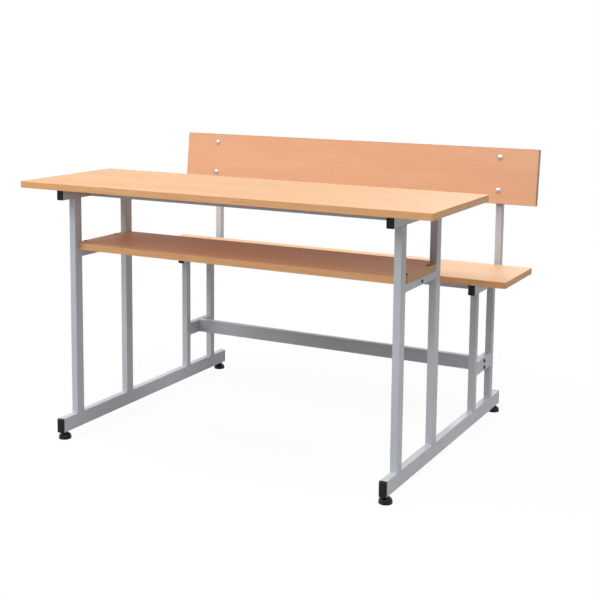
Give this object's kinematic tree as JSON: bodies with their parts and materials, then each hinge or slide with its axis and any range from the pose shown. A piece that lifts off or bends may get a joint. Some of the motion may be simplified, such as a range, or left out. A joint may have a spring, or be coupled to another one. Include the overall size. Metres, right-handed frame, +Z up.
{
  "type": "school desk with attached bench",
  "caption": "Shared school desk with an under-top book shelf and an attached bench with a sloping backrest, on two welded tube frames with screw-in levelling feet.",
  "frame": {"origin": "on the floor, below the middle of the overall length and depth, with the levelling feet screwed fully in", "axes": "+X along the boards, +Y from the desk back to the bench's backrest, +Z up"},
  "size_m": [1.2, 0.8902, 0.7999],
  "materials": {
    "laminate": "beech-grain laminate on board, satin, with plastic edging",
    "frame": "silver-grey powder coat, satin",
    "black_plastic": "moulded, matt black",
    "zinc_steel": "bright zinc plate"
  },
  "bodies": {
    "desk": {"desk_top": "laminate", "book_shelf": "laminate", "seat_board": "laminate", "backrest_board": "laminate", "desk_stretcher": "frame", "shelf_stretcher": "frame", "seat_stretcher": "frame", "foot_brace": "frame", "left_runner": "frame", "left_desk_front_post": "frame", "left_desk_rear_post": "frame", "left_desk_rail": "frame", "left_shelf_rail": "frame", "left_bench_front_post": "frame", "left_bench_rear_post": "frame", "left_seat_rail": "frame", "left_cross_member": "frame", "left_backrest_post": "frame", "right_runner": "frame", "right_desk_front_post": "frame", "right_desk_rear_post": "frame", "right_desk_rail": "frame", "right_shelf_rail": "frame", "right_bench_front_post": "frame", "right_bench_rear_post": "frame", "right_seat_rail": "frame", "right_cross_member": "frame", "right_backrest_post": "frame", "left_runner_front_cap": "black_plastic", "left_runner_rear_cap": "black_plastic", "left_desk_rail_cap": "black_plastic", "left_seat_rail_cap": "black_plastic", "right_runner_front_cap": "black_plastic", "right_runner_rear_cap": "black_plastic", "right_desk_rail_cap": "black_plastic", "right_seat_rail_cap": "black_plastic", "left_front_top_screw": "zinc_steel", "left_rear_top_screw": "zinc_steel", "right_front_top_screw": "zinc_steel", "right_rear_top_screw": "zinc_steel", "left_front_seat_screw": "zinc_steel", "left_rear_seat_screw": "zinc_steel", "right_front_seat_screw": "zinc_steel", "right_rear_seat_screw": "zinc_steel", "left_lower_backrest_bolt": "zinc_steel", "left_upper_backrest_bolt": "zinc_steel", "right_lower_backrest_bolt": "zinc_steel", "right_upper_backrest_bolt": "zinc_steel", "left_lower_brace_bolt": "zinc_steel", "left_upper_brace_bolt": "zinc_steel", "right_lower_brace_bolt": "zinc_steel", "right_upper_brace_bolt": "zinc_steel"},
    "left_front_pad": {"left_front_foot_pad": "black_plastic"},
    "left_front_stem": {"left_front_foot_stem": "zinc_steel"},
    "left_rear_pad": {"left_rear_foot_pad": "black_plastic"},
    "left_rear_stem": {"left_rear_foot_stem": "zinc_steel"},
    "right_front_pad": {"right_front_foot_pad": "black_plastic"},
    "right_front_stem": {"right_front_foot_stem": "zinc_steel"},
    "right_rear_pad": {"right_rear_foot_pad": "black_plastic"},
    "right_rear_stem": {"right_rear_foot_stem": "zinc_steel"}
  },
  "joints": [
    {"name": "left_front_foot_travel", "type": "slide", "parent": "desk", "child": "left_front_pad", "axis": [0, 0, -1], "range_m": [0, 0.012]},
    {"name": "left_front_stem_turn", "type": "hinge", "parent": "left_front_pad", "child": "left_front_stem", "pos_m": [-0.485, -0.41413, 0], "axis": [0, 0, -1], "range_deg": [0, 3456]},
    {"name": "left_rear_foot_travel", "type": "slide", "parent": "desk", "child": "left_rear_pad", "axis": [0, 0, -1], "range_m": [0, 0.012]},
    {"name": "left_rear_stem_turn", "type": "hinge", "parent": "left_rear_pad", "child": "left_rear_stem", "pos_m": [-0.485, 0.40887, 0], "axis": [0, 0, -1], "range_deg": [0, 3456]},
    {"name": "right_front_foot_travel", "type": "slide", "parent": "desk", "child": "right_front_pad", "axis": [0, 0, -1], "range_m": [0, 0.012]},
    {"name": "right_front_stem_turn", "type": "hinge", "parent": "right_front_pad", "child": "right_front_stem", "pos_m": [0.485, -0.41413, 0], "axis": [0, 0, -1], "range_deg": [0, 3456]},
    {"name": "right_rear_foot_travel", "type": "slide", "parent": "desk", "child": "right_rear_pad", "axis": [0, 0, -1], "range_m": [0, 0.012]},
    {"name": "right_rear_stem_turn", "type": "hinge", "parent": "right_rear_pad", "child": "right_rear_stem", "pos_m": [0.485, 0.40887, 0], "axis": [0, 0, -1], "range_deg": [0, 3456]}
  ],
  "couplings": [
    {"joint": "left_front_stem_turn", "follows": "left_front_foot_travel", "rad_per_m": 5026.5},
    {"joint": "left_rear_stem_turn", "follows": "left_rear_foot_travel", "rad_per_m": 5026.5},
    {"joint": "right_front_stem_turn", "follows": "right_front_foot_travel", "rad_per_m": 5026.5},
    {"joint": "right_rear_stem_turn", "follows": "right_rear_foot_travel", "rad_per_m": 5026.5}
  ]
}
